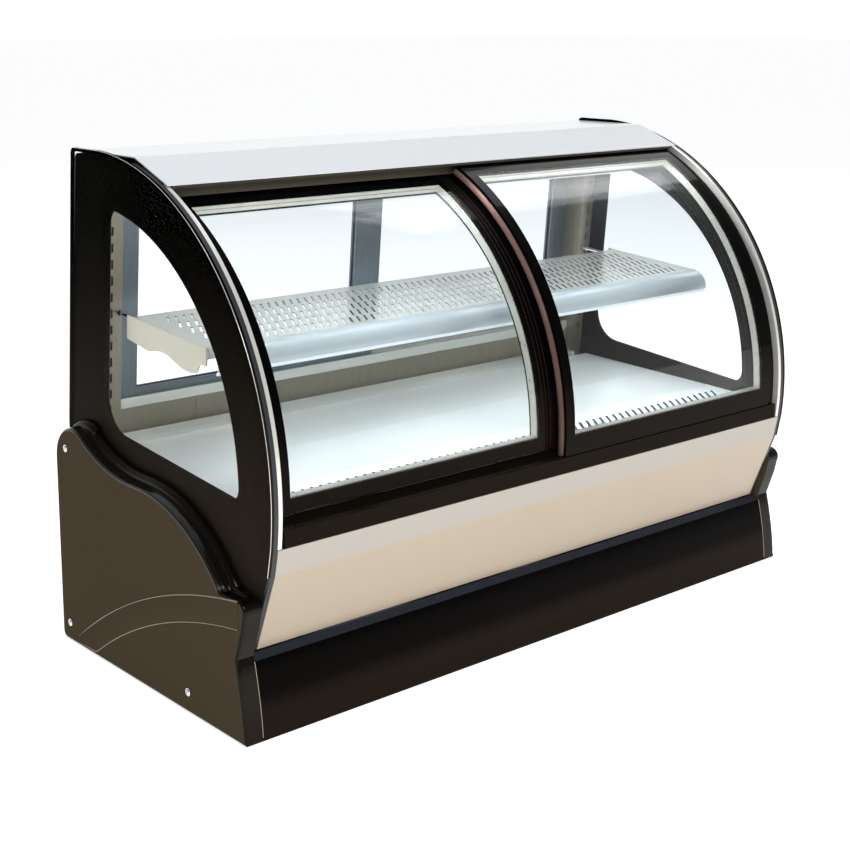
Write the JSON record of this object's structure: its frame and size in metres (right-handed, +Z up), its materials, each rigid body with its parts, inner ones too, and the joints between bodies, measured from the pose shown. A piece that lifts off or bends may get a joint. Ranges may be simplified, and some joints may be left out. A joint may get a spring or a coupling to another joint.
{
  "type": "countertop glass display showcase",
  "caption": "Counter-top refrigerated display showcase with a curved double-glazed sliding front, D-shaped side windows, a slotted shelf and serving-side doors over a machine base.",
  "frame": {"origin": "under the middle of the case, in the plane the rubber feet stand on", "axes": "+X right as seen from the curved customer side, +Y towards the serving side, +Z up"},
  "size_m": [1.0022, 0.4757, 0.668],
  "materials": {
    "black_gloss": "gloss",
    "dark_brown_gloss": "gloss, moulded",
    "champagne": "satin metallic",
    "galvanised": "matt zinc",
    "back_steel": "matt powder coat",
    "foam_liner": "matt",
    "stainless": "brushed",
    "stainless_dark": "brushed, dark",
    "glass_clear": "clear",
    "glass_double": "clear, double glazed",
    "print_black": "gloss black",
    "anodised": "dark anodised",
    "bright_trim": "bright anodised",
    "sill_bronze": "dark bronze anodised",
    "cover_white": "gloss white",
    "alu_satin": "satin",
    "lamp_white": "opal",
    "door_frame": "gloss black",
    "door_spacer": "satin, perforated",
    "nylon": "natural nylon",
    "cream_steel": "satin",
    "chrome": "polished",
    "rubber": "matt",
    "compressor_black": "satin",
    "coil": "mill",
    "fan_plastic": "matt",
    "controller_black": "satin",
    "button_grey": "satin",
    "rocker_red": "gloss",
    "inlet_black": "matt"
  },
  "bodies": {
    "case": {"base_pan": "galvanised", "feet": "rubber", "left_end_cap": "dark_brown_gloss", "right_end_cap": "dark_brown_gloss", "end_cap_screws": "chrome", "base_fascia": "black_gloss", "lower_front_panel": "champagne", "base_sides": "galvanised", "back_cover": "back_steel", "insulated_floor": "foam_liner", "rear_wall": "stainless_dark", "left_side_glass": "glass_clear", "right_side_glass": "glass_clear", "left_side_frame": "print_black", "right_side_frame": "print_black", "left_inner_pane": "glass_clear", "right_inner_pane": "glass_clear", "left_edge_trim": "anodised", "right_edge_trim": "anodised", "left_edge_bead": "bright_trim", "right_edge_bead": "bright_trim", "door_sill": "sill_bronze", "door_header": "sill_bronze", "roof_panel": "stainless", "top_cover": "cover_white", "top_lamp_housing": "alu_satin", "top_lamp_lens": "lamp_white", "left_rear_post": "stainless_dark", "right_rear_post": "stainless_dark", "rear_bottom_rail": "stainless", "rear_top_rail": "stainless", "deck_plate": "stainless", "rear_grille": "stainless", "shelf_plate": "stainless", "shelf_brackets": "cream_steel", "shelf_pegs": "chrome", "shelf_fascia": "alu_satin", "shelf_lamp_lens": "lamp_white", "compressor": "compressor_black", "condenser": "coil", "evaporator": "coil", "controller": "controller_black", "switch_housing": "controller_black", "power_inlet": "inlet_black"},
    "left_door": {"left_door_frame": "door_frame", "left_door_glass": "glass_double", "left_door_spacer": "door_spacer", "left_door_glides": "nylon"},
    "right_door": {"right_door_frame": "door_frame", "right_door_glass": "glass_double", "right_door_spacer": "door_spacer", "right_door_glides": "nylon"},
    "rear_left_door": {"rear_left_door_frame": "stainless", "rear_left_door_glass": "glass_clear"},
    "rear_right_door": {"rear_right_door_frame": "stainless", "rear_right_door_glass": "glass_clear"},
    "condenser_fan": {"condenser_fan": "fan_plastic"},
    "evaporator_fan": {"evaporator_fan": "fan_plastic"},
    "set_button": {"set_button": "button_grey"},
    "light_switch": {"light_switch": "rocker_red"}
  },
  "joints": [
    {"name": "left_door_slide", "type": "slide", "parent": "case", "child": "left_door", "axis": [1, 0, 0], "range_m": [0, 0.432]},
    {"name": "right_door_slide", "type": "slide", "parent": "case", "child": "right_door", "axis": [-1, 0, 0], "range_m": [0, 0.45]},
    {"name": "rear_left_door_slide", "type": "slide", "parent": "case", "child": "rear_left_door", "axis": [1, 0, 0], "range_m": [0, 0.418]},
    {"name": "rear_right_door_slide", "type": "slide", "parent": "case", "child": "rear_right_door", "axis": [-1, 0, 0], "range_m": [0, 0.418]},
    {"name": "condenser_fan_spin", "type": "hinge", "parent": "case", "child": "condenser_fan", "pos_m": [0.105, 0.129, 0.082], "axis": [0, 1, 0], "continuous": true},
    {"name": "evaporator_fan_spin", "type": "hinge", "parent": "case", "child": "evaporator_fan", "pos_m": [0.24, 0.07, 0.204], "axis": [0, 0, 1], "continuous": true},
    {"name": "set_button_press", "type": "slide", "parent": "case", "child": "set_button", "axis": [0, -1, 0], "range_m": [0, 0.0015], "stiffness_N_per_m": 200},
    {"name": "light_switch_rock", "type": "hinge", "parent": "case", "child": "light_switch", "pos_m": [-0.197, 0.2239, 0.17], "axis": [1, 0, 0], "range_deg": [-8, 0]}
  ]
}
